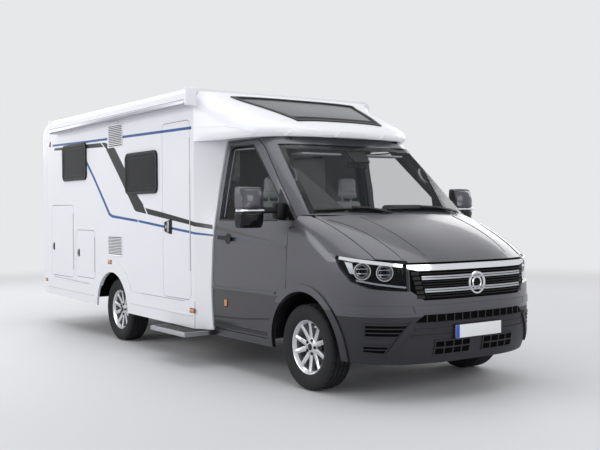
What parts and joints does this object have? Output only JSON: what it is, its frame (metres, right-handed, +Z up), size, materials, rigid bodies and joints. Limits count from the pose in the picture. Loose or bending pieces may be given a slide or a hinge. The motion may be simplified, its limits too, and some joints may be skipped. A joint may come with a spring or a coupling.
{
  "type": "camper van",
  "caption": "Low-profile motorhome: white living body with hatches, awning and entrance step on a dark delivery-van cab with a hood and skylight over it.",
  "frame": {"origin": "on the ground under the middle of the length and width", "axes": "+X towards the front of the vehicle, +Y to its left, +Z up"},
  "size_m": [6.99, 2.728, 2.7439],
  "materials": {
    "cab_paint": "gloss metallic",
    "body_white": "gloss",
    "white_plastic": "satin",
    "dark_plastic": "matte",
    "black_trim": "satin",
    "clear_glass": "clear",
    "tinted_glass": "tinted",
    "lamp": "clear",
    "red_lamp": "gloss",
    "silver_alloy": "satin",
    "tread_rubber": "matte",
    "chassis_black": "satin",
    "cast_metal": "rough",
    "cushion": "woven",
    "lining": "matte",
    "wood": "satin"
  },
  "bodies": {
    "body": {"cab_frame": "cab_paint", "windscreen": "clear_glass", "front_wings": "cab_paint", "bumper_upper": "cab_paint", "bumper_lower": "dark_plastic", "grille": "black_trim", "headlamps": "lamp", "cab_floor": "lining", "dashboard": "lining", "steering_wheel": "black_trim", "seats": "cushion", "overcab_hood": "white_plastic", "skylight": "tinted_glass", "shoulders": "white_plastic", "side_wall_right": "body_white", "side_wall_left": "body_white", "body_windows": "tinted_glass", "roof": "body_white", "rear_wall": "body_white", "hatch_frames": "white_plastic", "living_floor": "lining", "skirts": "white_plastic", "rear_bumper": "white_plastic", "tail_lamps": "red_lamp", "awning": "white_plastic", "chassis": "chassis_black", "engine_block": "cast_metal", "tanks": "dark_plastic", "front_axle": "chassis_black", "rear_axle": "chassis_black", "arch_liners": "dark_plastic", "step_case": "chassis_black", "furniture": "wood"},
    "steer_left": {"knuckle_left": "cast_metal"},
    "steer_right": {"knuckle_right": "cast_metal"},
    "wheel_front_left": {"tyre_front_left": "tread_rubber", "rim_front_left": "silver_alloy"},
    "wheel_front_right": {"tyre_front_right": "tread_rubber", "rim_front_right": "silver_alloy"},
    "wheel_rear_left": {"tyre_rear_left": "tread_rubber", "rim_rear_left": "silver_alloy"},
    "wheel_rear_right": {"tyre_rear_right": "tread_rubber", "rim_rear_right": "silver_alloy"},
    "cab_door_left": {"cab_door_left": "cab_paint", "door_glass_left": "clear_glass", "mirror_left": "cab_paint"},
    "cab_door_right": {"cab_door_right": "cab_paint", "door_glass_right": "clear_glass", "mirror_right": "cab_paint"},
    "bonnet": {"bonnet": "cab_paint"},
    "entry_door": {"entry_door": "body_white"},
    "tall_hatch_right": {"tall_hatch_right": "body_white"},
    "tall_hatch_left": {"tall_hatch_left": "body_white"},
    "gas_hatch_right": {"gas_hatch_right": "body_white"},
    "service_hatch_left": {"service_hatch_left": "body_white"},
    "roof_lid_front": {"roof_lid_front": "white_plastic"},
    "roof_lid_rear": {"roof_lid_rear": "white_plastic"},
    "step": {"step": "silver_alloy"}
  },
  "joints": [
    {"name": "steer_left_turn", "type": "hinge", "parent": "body", "child": "steer_left", "pos_m": [2.505, 0.7641, 0.355], "axis": [0, -0.2111, 0.9775], "range_deg": [-35, 35]},
    {"name": "steer_right_turn", "type": "hinge", "parent": "body", "child": "steer_right", "pos_m": [2.505, -0.7641, 0.355], "axis": [0, 0.2111, 0.9775], "range_deg": [-35, 35]},
    {"name": "wheel_front_left_spin", "type": "hinge", "parent": "steer_left", "child": "wheel_front_left", "pos_m": [2.505, 0.864, 0.355], "axis": [0, 1, 0], "continuous": true},
    {"name": "wheel_front_right_spin", "type": "hinge", "parent": "steer_right", "child": "wheel_front_right", "pos_m": [2.505, -0.864, 0.355], "axis": [0, 1, 0], "continuous": true},
    {"name": "wheel_rear_left_spin", "type": "hinge", "parent": "body", "child": "wheel_rear_left", "pos_m": [-1.135, 0.907, 0.355], "axis": [0, 1, 0], "continuous": true},
    {"name": "wheel_rear_right_spin", "type": "hinge", "parent": "body", "child": "wheel_rear_right", "pos_m": [-1.135, -0.907, 0.355], "axis": [0, 1, 0], "continuous": true},
    {"name": "cab_door_left_swing", "type": "hinge", "parent": "body", "child": "cab_door_left", "pos_m": [2.263, 1.01, 1.2], "axis": [0, 0, -1], "range_deg": [0, 70]},
    {"name": "cab_door_right_swing", "type": "hinge", "parent": "body", "child": "cab_door_right", "pos_m": [2.263, -1.01, 1.2], "axis": [0, 0, 1], "range_deg": [0, 70]},
    {"name": "bonnet_lift", "type": "hinge", "parent": "body", "child": "bonnet", "pos_m": [2.491, 0, 1.43], "axis": [0, -1, 0], "range_deg": [0, 55]},
    {"name": "entry_door_swing", "type": "hinge", "parent": "body", "child": "entry_door", "pos_m": [0.765, -1.1, 1.5], "axis": [0, 0, 1], "range_deg": [0, 95]},
    {"name": "tall_hatch_right_swing", "type": "hinge", "parent": "body", "child": "tall_hatch_right", "pos_m": [-2.321, -1.1, 1.1], "axis": [0, 0, 1], "range_deg": [0, 90]},
    {"name": "tall_hatch_left_swing", "type": "hinge", "parent": "body", "child": "tall_hatch_left", "pos_m": [-2.321, 1.1, 1.1], "axis": [0, 0, -1], "range_deg": [0, 90]},
    {"name": "gas_hatch_right_swing", "type": "hinge", "parent": "body", "child": "gas_hatch_right", "pos_m": [-1.633, -1.1, 0.97], "axis": [0, 0, 1], "range_deg": [0, 100]},
    {"name": "service_hatch_left_swing", "type": "hinge", "parent": "body", "child": "service_hatch_left", "pos_m": [-0.235, 1.1, 0.88], "axis": [0, 0, -1], "range_deg": [0, 100]},
    {"name": "roof_lid_front_lift", "type": "hinge", "parent": "body", "child": "roof_lid_front", "pos_m": [-0.907, 0, 2.6943], "axis": [0, -1, 0], "range_deg": [0, 50]},
    {"name": "roof_lid_rear_lift", "type": "hinge", "parent": "body", "child": "roof_lid_rear", "pos_m": [-2.677, 0, 2.6943], "axis": [0, -1, 0], "range_deg": [0, 50]},
    {"name": "step_slide", "type": "slide", "parent": "body", "child": "step", "axis": [0, 1, 0], "range_m": [0, 0.25]}
  ],
  "couplings": [
    {"joint": "steer_right_turn", "follows": "steer_left_turn", "ratio": 1}
  ]
}
